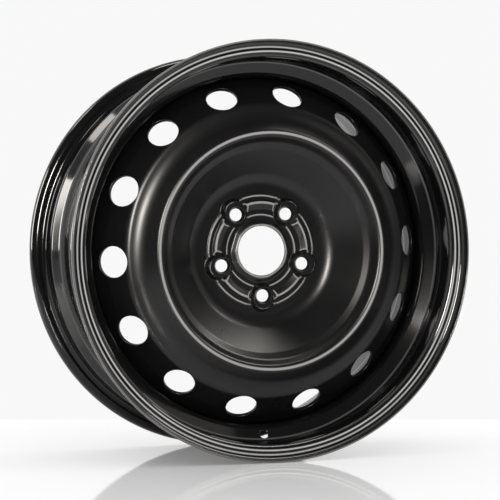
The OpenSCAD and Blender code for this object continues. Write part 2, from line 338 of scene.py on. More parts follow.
class Skin:
    """Collects the vertices, normals and faces of one piece and makes its mesh."""

    def __init__(self) -> None:
        """Starts an empty skin."""
        self._points: list[np.ndarray] = []
        self._normals: list[np.ndarray] = []
        self._faces: list[np.ndarray] = []
        self._highlit: list[np.ndarray] = []
        self._count = 0

    def add(self, points: np.ndarray, normals: np.ndarray, highlit: bool | np.ndarray = False) -> np.ndarray:
        """Adds vertices and returns their indices in the shape that they came in.

        Args:
            points: Places of the vertices.
            normals: Their normals.
            highlit: True where outer edges get a painted highlight.

        Returns:
            The indices.
        """
        shape = points.shape[:-1]
        self._points.append(points.reshape(-1, 3))
        self._normals.append(np.broadcast_to(normals, points.shape).reshape(-1, 3))
        self._highlit.append(np.broadcast_to(np.asarray(highlit, dtype=float), shape).ravel())
        index = np.arange(self._count, self._count + self._points[-1].shape[0]).reshape(shape)
        self._count += index.size
        return index

    def at(self, index: np.ndarray) -> np.ndarray:
        """Returns the places of vertices by their indices."""
        return np.vstack(self._points)[index]

    def grid(self, index: np.ndarray, keep: np.ndarray | None = None, close_rows: bool = False) -> None:
        """Adds the quads of a grid whose columns close round the wheel.

        Args:
            index: Vertex indices by row and column.
            keep: Mask of the quads to add, by row and column.
            close_rows: True to join the last row to the first.
        """
        below = np.roll(index, -1, axis=0) if close_rows else index[1:]
        above = index if close_rows else index[:-1]
        quads = np.stack([above, np.roll(above, -1, 1), np.roll(below, -1, 1), below], axis=-1)
        self._faces.append(quads[keep] if keep is not None else quads.reshape(-1, 4))

    def bands(self, rings: Sequence[np.ndarray]) -> None:
        """Adds quads between closed rings of equal count that follow each other."""
        self.grid(np.stack(rings))

    def rolled(
        self, points: np.ndarray, normals: np.ndarray, outwards: np.ndarray, up: np.ndarray, edge: float
    ) -> list[np.ndarray]:
        """Adds the rows that roll a surface into a hole's wall.

        Args:
            points: Row where the edge starts.
            normals: Its normals.
            outwards: Directions away from the hole's axis.
            up: Direction out of the hole at this mouth.
            edge: Radius of the rolled edge.

        Returns:
            Indices of the new rows, with the last one on the wall.
        """
        rows = []
        for turn in np.radians(ROLLED):
            shift = outwards * math.sin(turn) + up * (1 - math.cos(turn))
            lean = normals * math.cos(turn) - outwards * math.sin(turn)
            rows.append(self.add(points - shift * edge, lean))
        return rows

    def zipped(self, first: HoleMouth, second: HoleMouth) -> None:
        """Joins the rings of a hole's two mouths, which may differ in count, by triangles.

        Args:
            first: One mouth.
            second: The other mouth.
        """
        ring_a, ring_b = first.ring, second.ring
        turn_a = np.append(first.angles, first.angles[0] + 2 * math.pi)
        turn_b = np.append(second.angles, second.angles[0] + 2 * math.pi)
        i = j = 0
        triangles = []
        while i < len(ring_a) or j < len(ring_b):
            step_a = j >= len(ring_b) or (i < len(ring_a) and turn_a[i + 1] <= turn_b[j + 1])
            p, q = ring_a[i % len(ring_a)], ring_b[j % len(ring_b)]
            if step_a:
                i += 1
                triangles.append((p, ring_a[i % len(ring_a)], q, q))
            else:
                j += 1
                triangles.append((p, ring_b[j % len(ring_b)], q, q))
        self._faces.append(np.array(triangles))

    @staticmethod
    def _highlight_mask(points: np.ndarray, normals: np.ndarray, quads: np.ndarray) -> np.ndarray:
        """Works out how much painted highlight each vertex gets, from the outer edge it lies on.

        Args:
            points: Places of the vertices.
            normals: Their normals.
            quads: Faces by their vertices.

        Returns:
            A mask from 0 to 1 of painted highlight: 1 on sharp outer edges and on the crest of an outboard
                bend.
        """
        start, end = quads.ravel(), np.roll(quads, -1, axis=1).ravel()
        start, end = start[start != end], end[start != end]
        way = points[end] - points[start]
        turn = np.einsum("ij,ij->i", normals[end] - normals[start], way)
        bend = turn / np.maximum((way**2).sum(axis=1), SHORTEST_SQUARE)
        curve = np.zeros(len(points))
        for side in (start, end):
            np.maximum.at(curve, side, bend)
        crest = ramp(curve, CREST_BEND) * ramp(-normals[:, 1], CREST_TILT)
        return np.maximum(ramp(curve, SHARP), crest)

    def made(self, name: str) -> bpy.types.Object:
        """Makes the mesh object, with faces turned to their normals.

        Args:
            name: Name of the piece.

        Returns:
            The new object, linked to the scene.
        """
        points, normals = np.vstack(self._points), unit(np.vstack(self._normals))
        quads = np.vstack(self._faces)
        span = points[quads]
        facing = np.cross(span[:, 2] - span[:, 0], span[:, 3] - span[:, 1])
        slim = quads[:, 2] == quads[:, 3]
        facing[slim] = np.cross(span[slim, 1] - span[slim, 0], span[slim, 2] - span[slim, 0])
        wrong = np.einsum("ij,ij->i", facing, normals[quads].sum(axis=1)) < 0
        used, inverse = np.unique(quads, return_inverse=True)
        corners = inverse.reshape(quads.shape).tolist()
        faces = [
            (q[:3] if three else q)[:: -1 if flip else 1]
            for q, three, flip in zip(corners, slim.tolist(), wrong.tolist())
        ]
        mesh = bpy.data.meshes.new(name)
        mesh.from_pydata((points[used] * MM).tolist(), [], faces)
        mesh.shade_smooth()
        mesh.normals_split_custom_set_from_vertices(normals[used].tolist())
        # Mask of the painted highlights, kept on the points for the paint to lighten its base colour.
        edges = mesh.attributes.new(EDGE_HIGHLIGHT, "FLOAT", "POINT")
        highlit = np.concatenate(self._highlit) * self._highlight_mask(points, normals, quads)
        edges.data.foreach_set("value", highlit[used])
        mesh.update()
        piece = bpy.data.objects.new(name, mesh)
        bpy.context.collection.objects.link(piece)
        return piece


@dataclass(frozen=True)
class Block:
    """Rectangle of grid cells that a round hole replaces."""

    row_start: int
    row_end: int
    columns: np.ndarray

    @staticmethod
    def about(column: int, half: int, count: int, first: int, last: int) -> "Block":
        """Returns the block of the columns on both sides of one and of the rows between two."""
        return Block(first, last, np.arange(column - half, column + half + 1) % count)

    def border(self, index: np.ndarray) -> np.ndarray:
        """Walks round the block.

        Args:
            index: Vertex indices of the grid, by row and column.

        Returns:
            The indices of the vertices round the block, once each.
        """
        cols = self.columns
        rows = np.arange(self.row_start, self.row_end + 1)
        return np.concatenate([
            index[self.row_start, cols[:-1]],
            index[rows[:-1], cols[-1]],
            index[self.row_end, cols[:0:-1]],
            index[rows[:0:-1], cols[0]],
        ])

    def cut(self, keep: np.ndarray) -> None:
        """Takes the block's cells out of a mask of quads."""
        keep[self.row_start : self.row_end, self.columns[:-1]] = False


@dataclass(frozen=True)
class RoundHole:
    """Round hole with rolled edges: its frame, radius, edge radius and rings round each mouth."""

    frame: HoleFrame
    radius: float
    edge: float
    rings: int

    def mouth(
        self, skin: Skin, border: np.ndarray, place: Placer, inward: float, highlight_from: float = math.inf
    ) -> HoleMouth:
        """Fills the cells between a block's border and one mouth of the hole.

        Args:
            skin: Skin that takes the vertices and faces.
            border: Indices round the block.
            place: Finds the surface under points of the hole's plan.
            inward: 1 where the wall runs against the frame's axis from this mouth, or -1.
            highlight_from: Distance from the hole's axis past which outer edges get a painted highlight.

        Returns:
            The last ring, on the hole's wall.
        """
        frame = self.frame
        plan = frame.plan(skin.at(border))
        angles = np.arctan2(plan[:, 1], plan[:, 0])
        order = np.argsort(angles)
        border, plan, angles = border[order], plan[order], angles[order]
        spoke = np.stack([np.cos(angles), np.sin(angles)], axis=-1)
        rows = [border]
        for k in range(1, self.rings + 1):
            share = k / self.rings
            ring = plan * (1 - share) + spoke * (self.radius + self.edge) * share
            points, normals = place(ring)
            rows.append(skin.add(points, normals, highlit=np.hypot(ring[:, 0], ring[:, 1]) > highlight_from))
        outwards = spoke[:, :1] * frame.across + spoke[:, 1:] * frame.along
        rows += skin.rolled(points, normals, outwards, frame.axis * inward, self.edge)
        skin.bands(rows)
        return HoleMouth(rows[-1], angles)

    def through(
        self, skin: Skin, index: np.ndarray, keep: np.ndarray, angle: float,
        sides: Sequence[tuple[Profile, Block]],
    ) -> None:
        """Cuts the hole through both sides of a revolved sheet.

        Args:
            skin: Skin that takes the vertices and faces.
            index: Vertex indices of the sheet's grid.
            keep: Mask of the grid's quads, which loses the hole's cells.
            angle: Angle of the hole round the axle, in radians.
            sides: Profile and block of each side, with the side that the axis points out of first.
        """
        mouths = []
        for (run, block), inward in zip(sides, (1.0, -1.0)):
            block.cut(keep)
            surface = RevolvedSide(run, self.frame, angle)
            mouths.append(self.mouth(skin, block.border(index), surface.place, inward))
        skin.zipped(*mouths)


class MaterialSlot(Enum):
    """Material slots of the record."""

    RIM = "rim_paint"
    DISC = "disc_paint"
    WELD = "weld_paint"


@dataclass(frozen=True)
class BrightLine:
    """Painted highlight ring: its radius, the place that it lies outboard of, and its strength."""

    radius: float
    front: float
    share: float


@dataclass(frozen=True)
class PaintFinish:
    """Black paint over steel, with sizes of its texture in millimetres and depths in micrometres."""

    name: str
    colour: tuple[float, float, float]
    worn_colour: tuple[float, float, float]
    roughness: float
    roughness_spread: float
    peel_size: float
    peel_depth: float
    grain_size: float
    grain_depth: float
    mottle_size: float = 50.0
    mottle_contrast: float = 1.5
    # Painted highlights: a light colour mixed into the base colour on edges and on rings of given radius.
    highlight_colour: tuple[float, float, float] = (0.5, 0.49, 0.47)
    highlight_share: float = 0.9
    lines: tuple[BrightLine, ...] = ()
    highlight_half: float = 1.0


GLOSS_PAINT = PaintFinish(
    name="gloss_black",
    colour=(0.005, 0.005, 0.0055),
    worn_colour=(0.008, 0.008, 0.0085),
    roughness=0.09,
    roughness_spread=0.02,
    peel_size=4.0,
    peel_depth=1.5,
    grain_size=0.7,
    grain_depth=0.15,
    # Painted highlight rings round the flange and the bead seat.
    highlight_colour=(0.85, 0.84, 0.82),
    highlight_share=1.0,
    lines=(
        BrightLine(225.3, -15.0, 0.15),
        BrightLine(230.0, -50.0, 0.1),
        BrightLine(234.8, -50.0, 1.0),
        BrightLine(239.8, -50.0, 0.9),
        BrightLine(244.0, -50.0, 0.08),
        BrightLine(247.4, -50.0, 0.3),
    ),
    highlight_half=1.4,
)
SATIN_PAINT = PaintFinish(
    name="satin_black",
    colour=(0.005, 0.005, 0.0055),
    worn_colour=(0.009, 0.009, 0.0095),
    roughness=0.29,
    roughness_spread=0.06,
    peel_size=3.0,
    peel_depth=2.0,
    grain_size=1.2,
    grain_depth=6.0,
    # Painted highlight ring at the edge of the centre bore's collar.
    lines=(BrightLine(31.6, -6.0, 1.0),),
)
WELD_PAINT = PaintFinish(
    name="weld_black",
    colour=(0.008, 0.008, 0.0085),
    worn_colour=(0.018, 0.017, 0.016),
    roughness=0.3,
    roughness_spread=0.1,
    peel_size=2.0,
    peel_depth=6.0,
    grain_size=0.5,
    grain_depth=2.0,
)


class PaintShop:
    """Builds the shared texture groups and the paints that use them."""

    PEEL_DETAIL: ClassVar[float] = 1.0
    GRAIN_DETAIL: ClassVar[float] = 2.0
    MOTTLE_DETAIL: ClassVar[float] = 4.0
    NOISE_MIDDLE: ClassVar[float] = 0.5

    def __init__(self) -> None:
        """Builds the node groups once."""
        self.texture = self._texture_group()
        self.mottle = self._mottle_group()
        self.line = self._highlight_ring_group()

    @staticmethod
    def _group(name: str, inputs: Sequence[tuple[str, float]], output: str) -> Tree:
        """Makes a shader group with float inputs and one float output.

        Args:
            name: Name of the group.
            inputs: Names and default values of the inputs.
            output: Name of the output.

        Returns:
            The new node tree, with its input and output nodes.
        """
        tree = bpy.data.node_groups.new(name, "ShaderNodeTree")
        for label, value in inputs:
            socket = tree.interface.new_socket(label, in_out="INPUT", socket_type="NodeSocketFloat")
            socket.default_value = value
        tree.interface.new_socket(output, in_out="OUTPUT", socket_type="NodeSocketFloat")
        tree.nodes.new("NodeGroupInput").name = "in"
        tree.nodes.new("NodeGroupOutput").name = "out"
        return tree

    @staticmethod
    def _placed(tree: Tree, group: Tree, values: dict[str, float]) -> bpy.types.Node:
        """Places a group in a material with the material's own values.

        Args:
            tree: The material's tree.
            group: The group.
            values: Values by the names of the group's inputs.

        Returns:
            The group's node.
        """
        node = tree.nodes.new("ShaderNodeGroup")
        node.node_tree = group
        for name, value in values.items():
            node.inputs[name].default_value = value
        return node

    @staticmethod
    def _noise(tree: Tree, scale: Socket, detail: float) -> Socket:
        """Adds noise in the object's own coordinates.

        Args:
            tree: Tree that takes the nodes.
            scale: Socket that gives the noise's scale.
            detail: Number of finer layers.

        Returns:
            The noise's value.
        """
        where = tree.nodes.new("ShaderNodeTexCoord")
        noise = tree.nodes.new("ShaderNodeTexNoise")
        noise.inputs["Detail"].default_value = detail
        tree.links.new(where.outputs["Object"], noise.inputs["Vector"])
        tree.links.new(scale, noise.inputs["Scale"])
        return noise.outputs["Fac"]

    @staticmethod
    def _math(
        tree: Tree, operation: str, a: Socket | float, b: Socket | float, clamp: bool = False
    ) -> Socket:
        """Adds a math node on sockets or numbers.

        Args:
            tree: Tree that takes the node.
            operation: What the node does.
            a: First value.
            b: Second value.
            clamp: True to keep the result between 0 and 1.

        Returns:
            The result.
        """
        node = tree.nodes.new("ShaderNodeMath")
        node.operation = operation
        node.use_clamp = clamp
        for socket, value in zip(node.inputs, (a, b)):
            if isinstance(value, Socket):
                tree.links.new(value, socket)
            else:
                socket.default_value = value
        return node.outputs[0]

    @staticmethod
    def _mixed(
        tree: Tree, mask: Socket, base: Socket | tuple[float, float, float], over: tuple[float, float, float]
    ) -> Socket:
        """Adds a mix of two colours.

        Args:
            tree: Tree that takes the node.
            mask: Share of the second colour.
            base: First colour.
            over: Second colour.

        Returns:
            The mixed colour.
        """
        node = tree.nodes.new("ShaderNodeMix")
        node.data_type = "RGBA"
        tree.links.new(mask, node.inputs["Factor"])
        if isinstance(base, Socket):
            tree.links.new(base, node.inputs["A"])
        else:
            node.inputs["A"].default_value = (*base, 1.0)
        node.inputs["B"].default_value = (*over, 1.0)
        return node.outputs["Result"]

    def _texture_group(self) -> Tree:
        """Builds the paint's orange peel and grain as one height, in metres.

        Returns:
            The group.
        """
        tree = self._group(
            "paint_texture",
            [("Peel Scale", 300.0), ("Peel Depth", 3e-6), ("Grain Scale", 1500.0), ("Grain Depth", 1e-6)],
            "Height",
        )
        given, result = tree.nodes["in"].outputs, tree.nodes["out"].inputs
        peel_noise = self._noise(tree, given["Peel Scale"], self.PEEL_DETAIL)
        peel = self._math(tree, "MULTIPLY", peel_noise, given["Peel Depth"])
        grain_noise = self._noise(tree, given["Grain Scale"], self.GRAIN_DETAIL)
        grain = self._math(tree, "MULTIPLY", grain_noise, given["Grain Depth"])
        tree.links.new(self._math(tree, "ADD", peel, grain), result["Height"])
        return tree

    def _mottle_group(self) -> Tree:
        """Builds the slow change of the paint's shade and gloss as a mask.

        Returns:
            The group.
        """
        tree = self._group("paint_mottle", [("Scale", 20.0), ("Contrast", 1.5)], "Mask")
        given, result = tree.nodes["in"].outputs, tree.nodes["out"].inputs
        noise = self._noise(tree, given["Scale"], self.MOTTLE_DETAIL)
        shifted = self._math(tree, "SUBTRACT", noise, self.NOISE_MIDDLE)
        scaled = self._math(tree, "MULTIPLY", shifted, given["Contrast"])
        centred = self._math(tree, "ADD", scaled, self.NOISE_MIDDLE, clamp=True)
        tree.links.new(centred, result["Mask"])
        return tree

    def _highlight_ring_group(self) -> Tree:
        """Builds the mask of a painted highlight ring on the outboard side, by its radius in metres.

        Returns:
            The group.
        """
        inputs = [("Radius", 0.2), ("Half Width", 0.001), ("Front", -0.05), ("Share", 1.0)]
        tree = self._group("painted_highlight_ring", inputs, "Mask")
        given, result = tree.nodes["in"].outputs, tree.nodes["out"].inputs
        where = tree.nodes.new("ShaderNodeTexCoord")
        split = tree.nodes.new("ShaderNodeSeparateXYZ")
        tree.links.new(where.outputs["Object"], split.inputs[0])
        square = [self._math(tree, "MULTIPLY", split.outputs[k], split.outputs[k]) for k in ("X", "Z")]
        radius = self._math(tree, "POWER", self._math(tree, "ADD", *square), 0.5)
        off = self._math(tree, "ABSOLUTE", self._math(tree, "SUBTRACT", radius, given["Radius"]), 0.0)
        fade = self._math(tree, "SUBTRACT", 1.0, self._math(tree, "DIVIDE", off, given["Half Width"]))
        front = self._math(tree, "LESS_THAN", split.outputs["Y"], given["Front"])
        shown = self._math(tree, "MULTIPLY", self._math(tree, "MAXIMUM", fade, 0.0), front)
        tree.links.new(self._math(tree, "MULTIPLY", shown, given["Share"]), result["Mask"])
        return tree

    def _painted_highlight_mask(self, tree: Tree, finish: PaintFinish) -> Socket:
        """Adds the mask of the painted highlights on edges and ring lines.

        Args:
            tree: The material's tree.
            finish: The material's finish.

        Returns:
            The mask.
        """
        edge = tree.nodes.new("ShaderNodeAttribute")
        edge.attribute_name = EDGE_HIGHLIGHT
        mask = edge.outputs["Fac"]
        for ring in finish.lines:
            line = self._placed(tree, self.line, {
                "Radius": ring.radius * MM,
                "Half Width": finish.highlight_half * MM,
                "Front": ring.front * MM,
                "Share": ring.share,
            })
            mask = self._math(tree, "MAXIMUM", mask, line.outputs["Mask"])
        return self._math(tree, "MULTIPLY", mask, finish.highlight_share)

    def paint(self, finish: PaintFinish) -> bpy.types.Material:
        """Makes a paint from its finish.

        Args:
            finish: Colours, gloss and texture sizes.

        Returns:
            The new material.
        """
        material = bpy.data.materials.new(finish.name)
        material.use_nodes = True
        tree = material.node_tree
        shader = tree.nodes["Principled BSDF"]
        texture = self._placed(tree, self.texture, {
            "Peel Scale": 1 / (finish.peel_size * MM),
            "Peel Depth": finish.peel_depth * MICRON,
            "Grain Scale": 1 / (finish.grain_size * MM),
            "Grain Depth": finish.grain_depth * MICRON,
        })
        bump = tree.nodes.new("ShaderNodeBump")
        bump.inputs["Distance"].default_value = 1.0
        tree.links.new(texture.outputs["Height"], bump.inputs["Height"])
        tree.links.new(bump.outputs["Normal"], shader.inputs["Normal"])
        mottle = self._placed(tree, self.mottle, {
            "Scale": 1 / (finish.mottle_size * MM),
            "Contrast": finish.mottle_contrast,
        })
        shade = self._mixed(tree, mottle.outputs["Mask"], finish.colour, finish.worn_colour)
        # Painted highlight: the base colour turns light on edges and ring lines.
        bright = self._mixed(tree, self._painted_highlight_mask(tree, finish), shade, finish.highlight_colour)
        tree.links.new(bright, shader.inputs["Base Color"])
        gloss = tree.nodes.new("ShaderNodeMapRange")
        gloss.inputs["To Min"].default_value = finish.roughness - finish.roughness_spread / 2
        gloss.inputs["To Max"].default_value = finish.roughness + finish.roughness_spread / 2
        tree.links.new(mottle.outputs["Mask"], gloss.inputs["Value"])
        tree.links.new(gloss.outputs["Result"], shader.inputs["Roughness"])
        return material


class SubAssembly:
    """Part of the wheel that is one piece with one finish and stands for one solid."""

    PIECE: ClassVar[str]
    NODE: ClassVar[str]
    SLOT: ClassVar[MaterialSlot]
    FINISH: ClassVar[PaintFinish]

    def skin(self) -> Skin:
        """Builds the piece's skin, each sub-assembly in its own way."""
        raise NotImplementedError

    def build(self, shop: PaintShop) -> bpy.types.Object:
        """Builds the piece, paints it and sets it in the place of its solid.

        Args:
            shop: Shop that mixes the paint.

        Returns:
            The dressed piece.
        """
        piece = self.skin().made(self.PIECE)
        piece.data.materials.append(shop.paint(self.FINISH))
        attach(piece, "root")
        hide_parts(self.NODE)
        return piece


@dataclass
class WheelRim(SubAssembly):
    """Rolled drop-centre rim with full-round lips and the valve hole."""

    PIECE: ClassVar[str] = "wheel_rim"
    NODE: ClassVar[str] = "rim"
    SLOT: ClassVar[MaterialSlot] = MaterialSlot.RIM
    FINISH: ClassVar[PaintFinish] = GLOSS_PAINT
    WALL_TOP: ClassVar[int] = 5
    WELL_START: ClassVar[int] = 6
    diameter: float = 462.0
    width: float = 190.5
    offset: float = 42.0
    sheet: float = 2.8
    flange_height: float = 17.5
    curl_r: float = 9.5
    lip_length: float = 2.0
    heel_r: float = 6.5
    seat_width: float = 20.0
    seat_taper: float = 5.0
    hump_height: float = 1.3
    hump_width: float = 14.0
    well_depth: float = 19.5
    well_width: float = 46.0
    well_wall_angle: float = 59.0
    ledge_depth: float = 9.0
    ledge_wall_angle: float = 41.0
    ledge_rise_angle: float = 32.0
    hump_bend: float = 7.0
    wall_bend: float = 8.0
    well_bend: float = 9.0
    ledge_bend: float = 12.0
    valve_d: float = 11.3
    valve_angle: float = 90.0
    valve_edge: float = 0.5
    columns: int = 288
    bend_step: float = math.radians(6.0)
    longest: float = 6.0
    edge_steps: int = 8
    block_margin: float = 2.5
    patch_rings: int = 4

    def path(self) -> tuple[Station, ...]:
        """Lays out the tyre side of the rim.

        Returns:
            The corners from the outboard lip to the inboard lip.
        """
        bead = self.diameter / 2
        flange = bead + self.flange_height
        well, ledge = bead - self.well_depth, bead - self.ledge_depth
        seat_end = bead - self.seat_width * math.tan(math.radians(self.seat_taper))
        hump = seat_end + self.hump_height
        front, back = self.offset - self.width / 2, self.offset + self.width / 2
        wall_top = front + self.seat_width + self.hump_width
        well_start = wall_top + (hump - well) / math.tan(math.radians(self.well_wall_angle))
        well_end = well_start + self.well_width
        ledge_start = well_end + (ledge - well) / math.tan(math.radians(self.ledge_wall_angle))
        hump_back = back - self.seat_width - self.hump_width / 2
        ledge_end = hump_back - (hump - ledge) / math.tan(math.radians(self.ledge_rise_angle))
        lip = self.curl_r + self.lip_length
        return (
            Station(flange, front - lip),
            Station(flange, front, self.curl_r),
            Station(bead, front, self.heel_r),
            Station(seat_end, front + self.seat_width, self.hump_bend),
            Station(hump, front + self.seat_width + self.hump_width / 2, self.hump_bend),
            Station(hump, wall_top, self.wall_bend),
            Station(well, well_start, self.well_bend),
            Station(well, well_end, self.well_bend),
            Station(ledge, ledge_start, self.ledge_bend),
            Station(ledge, ledge_end, self.ledge_bend),
            Station(hump, hump_back, self.hump_bend),
            Station(seat_end, back - self.seat_width, self.hump_bend),
            Station(bead, back, self.heel_r),
            Station(flange, back, self.curl_r),
            Station(flange, back + lip),
        )

    def _valve_frame(self, path: tuple[Station, ...]) -> HoleFrame:
        """Works out the valve hole's frame, square to the outboard well wall.

        Args:
            path: Corners of the rim's section.

        Returns:
            The frame, with its axis towards the tyre side.
        """
        top, foot = path[self.WALL_TOP], path[self.WELL_START]
        angle, lean = math.radians(self.valve_angle), math.radians(self.well_wall_angle)
        return HoleFrame(
            round_wheel((top.r + foot.r) / 2, (top.y + foot.y) / 2, angle),
            onward(angle),
            round_wheel(-math.sin(lean), math.cos(lean), angle),
            round_wheel(math.cos(lean), math.sin(lean), angle),
        )

    def skin(self) -> Skin:
        """Builds both sides of the sheet, its lips and the valve hole.

        Returns:
            The rim's skin.
        """
        path = self.path()
        sheet = BentSheet(path, self.sheet)
        tyre_side = sheet.side(False, self.bend_step, self.longest)
        axle_side = sheet.side(True, self.bend_step, self.longest).reversed()
        back_lip, front_lip = (sheet.end_round(last, self.edge_steps) for last in (True, False))
        runs = [tyre_side, back_lip, axle_side, front_lip]
        starts = np.cumsum([0] + [len(r.points) for r in runs])
        turn = 2 * math.pi / self.columns
        angles = np.arange(self.columns) * turn
        points, normals = Profile.joined(runs).revolved(angles)
        skin = Skin()
        index = skin.add(points, normals)
        keep = np.ones(index.shape, dtype=bool)
        hole = RoundHole(self._valve_frame(path), self.valve_d / 2, self.valve_edge, self.patch_rings)
        sides = [
            (run, self._valve_block(run, start, hole, angles))
            for run, start in ((tyre_side, starts[0]), (axle_side, starts[2]))
        ]
        hole.through(skin, index, keep, math.radians(self.valve_angle), sides)
        skin.grid(index, keep, close_rows=True)
        return skin

    def _valve_block(self, run: Profile, start: int, hole: RoundHole, angles: np.ndarray) -> Block:
        """Finds the cells that the valve hole takes up on one side of the sheet.

        Args:
            run: Profile of that side.
            start: Row of the side's first point.
            hole: The valve hole.
            angles: Angles of the columns.

        Returns:
            The block.
        """
        here, step = math.radians(self.valve_angle), angles[1] - angles[0]
        centre, reach = hole.frame.centre, hole.radius + hole.edge + self.block_margin
        line = round_wheel(run.points[:, 0], run.points[:, 1], here)
        near = np.flatnonzero(np.linalg.norm(line - centre, axis=1) < reach)
        half = math.ceil(reach / np.linalg.norm(centre[[0, 2]]) / step)
        return Block.about(round(here / step), half, len(angles), start + near[0] - 1, start + near[-1] + 1)


@dataclass
class WheelDisc(SubAssembly):
    """Pressed centre disc: bowl, crown, vent face, skirt and the coined hub."""

    PIECE: ClassVar[str] = "wheel_disc"
    NODE: ClassVar[str] = "disc"
    SLOT: ClassVar[MaterialSlot] = MaterialSlot.DISC
    FINISH: ClassVar[PaintFinish] = SATIN_PAINT
    VENT_INNER: ClassVar[int] = 6
    VENT_OUTER: ClassVar[int] = 7
    SEAT_SHARES: ClassVar[tuple[float, ...]] = (0.0, 0.5, 0.97)
    SEAT_FOOT: ClassVar[float] = 1.05
    NO_BOSS: ClassVar[float] = -1.0
    sheet: float = 4.5
    skirt_r: float = 208.65
    bowl_floor_r: float = 86.9
    bowl_bend: float = 26.0
    bowl_ledge_w: float = 8.0
    bowl_ledge_drop: float = 5.0
    bowl_ledge_bend: float = 12.0
    brow_w: float = 9.2
    brow_drop: float = 12.7
    crown_y: float = -52.25
    crown_bend: float = 7.0
    crown_slope_w: float = 21.5
    crown_drop: float = 17.5
    groove_bend: float = 36.0
    shoulder_w: float = 14.5
    shoulder_drop: float = 3.0
    shoulder_bend: float = 14.0
    vent_face_w: float = 20.5
    vent_face_drop: float = 20.0
    vent_bend: float = 25.0
    skirt_turn_w: float = 13.7
    skirt_turn_drop: float = 17.0
    skirt_bend: float = 14.0
    skirt_length: float = 24.0
    vent_count: int = 14
    vent_d: float = 37.0
    vent_angle: float = -81.0
    vent_inset: float = 14.0
    vent_from_r: float = 153.0
    vent_edge: float = 0.9
    bore_d: float = 59.4
    bore_edge: float = 0.5
    collar_height: float = 3.3
    collar_slope_w: float = 5.4
    collar_edge_w: float = 1.4
    collar_relief: float = 6.3
    collar_corner: float = 1.4
    ring_height: float = 1.2
    ring_inner_r: float = 41.8
    ring_outer_r: float = 68.3
    ring_edge_w: float = 1.6
    rib_inner_r: float = 50.4
    rib_outer_r: float = 61.4
    rib_height: float = 3.3
    rib_slope: float = 28.0
    rib_outer_w: float = 2.6
    rib_bend: float = 6.0
    rib_gap_r: float = 15.6
    rib_end_slope: float = 0.8
    rib_relief_depth: float = 3.4
    bolt_circle_r: float = 54.0
    bolt_count: int = 5
    bolt_angle: float = -55.3
    bolt_hole_d: float = 15.0
    seat_d: float = 19.6
    seat_angle: float = 60.0
    boss_height: float = 7.2
    boss_top_d: float = 22.0
    boss_slope_w: float = 4.4
    boss_reach: float = 3.6
    boss_flare: float = 1.0
    boss_relief: float = 6.5
    boss_relief_d: float = 17.4
    fillet: float = 0.7
    seat_edge: float = 0.4
    columns: int = 280
    bend_step: float = math.radians(4.5)
    back_step: float = math.radians(9.0)
    longest: float = 8.0
    hub_r: float = 76.5
    hub_margin: float = 1.0
    front_row: float = 0.55
    back_row: float = 1.8
    edge_round: float = 0.6
    vent_rings: int = 5
    boss_rings: int = 14
    slope_margin: float = 3.0
    probe: float = 0.02
    angles: np.ndarray = field(init=False)

    def __post_init__(self) -> None:
        """Works out the angles of the columns, which start at a vent."""
        step = 2 * math.pi / self.columns
        self.angles = math.radians(self.vent_angle) + np.arange(self.columns) * step

    def path(self) -> tuple[Station, ...]:
        """Lays out the outboard side of the disc.

        Returns:
            The corners from the hub plate to the skirt's edge.
        """
        outer_r = self.skirt_r - self.skirt_turn_w
        inner_r = outer_r - self.vent_face_w
        groove_r = inner_r - self.shoulder_w
        groove_y = self.crown_y + self.crown_drop
        crown_r = groove_r - self.crown_slope_w
        brow_r, brow_y = crown_r - self.brow_w, self.crown_y + self.brow_drop
        inner_y = groove_y + self.shoulder_drop
        outer_y = inner_y + self.vent_face_drop
        skirt_y = outer_y + self.skirt_turn_drop
        return (
            Station(self.bolt_circle_r, -self.sheet),
            Station(self.bowl_floor_r, -self.sheet, self.bowl_bend),
            Station(brow_r - self.bowl_ledge_w, brow_y + self.bowl_ledge_drop, self.bowl_ledge_bend),
            Station(brow_r, brow_y, self.bowl_ledge_bend),
            Station(crown_r, self.crown_y, self.crown_bend),
            Station(groove_r, groove_y, self.groove_bend),
            Station(inner_r, inner_y, self.shoulder_bend),
            Station(outer_r, outer_y, self.vent_bend),
            Station(self.skirt_r, skirt_y, self.skirt_bend),
            Station(self.skirt_r, skirt_y + self.skirt_length),
        )

    def skin(self) -> Skin:
        """Builds the pressed sheet with its vents, and the hub in its middle.

        Returns:
            The disc's skin.
        """
        skin = Skin()
        sheet = BentSheet(self.path(), self.sheet)
        front = sheet.side(False, self.bend_step, self.longest)
        back = sheet.side(True, self.back_step, self.longest)
        front_row, back_row = self._revolve(skin, front, back)
        self._hub(skin, front, back, front_row, back_row)
        return skin

    def _revolve(self, skin: Skin, front: Profile, back: Profile) -> tuple[np.ndarray, np.ndarray]:
        """Builds the bowl, crown, vent face and skirt with the vent holes.

        Args:
            skin: Skin that takes the vertices and faces.
            front: Outboard side of the whole disc.
            back: Inboard side of the whole disc.

        Returns:
            The rows of vertices where the hub joins on, outboard and inboard.
        """
        front = front.part(front.points[:, 0] >= self.hub_r).part(slice(-1))
        back = back.part(back.points[:, 0] >= self.hub_r).reversed().part(slice(1, None))
        runs = [front, self._skirt_edge(), back]
        starts = np.cumsum([0] + [len(r.points) for r in runs])
        points, normals = Profile.joined(runs).revolved(self.angles)
        # Edges of the bowl, crown, vent face and skirt get painted highlights.
        index = skin.add(points, normals, highlit=True)
        keep = np.ones((len(index) - 1, self.columns), dtype=bool)
        for column in range(0, self.columns, self.columns // self.vent_count):
            angle = self.angles[column]
            hole = RoundHole(self._vent_frame(angle), self.vent_d / 2, self.vent_edge, self.vent_rings)
            sides = [
                (run, self._vent_block(run, start, hole, column))
                for run, start in ((front, starts[0]), (back, starts[2]))
            ]
            hole.through(skin, index, keep, angle, sides)
        skin.grid(index, keep)
        return index[0], index[-1]

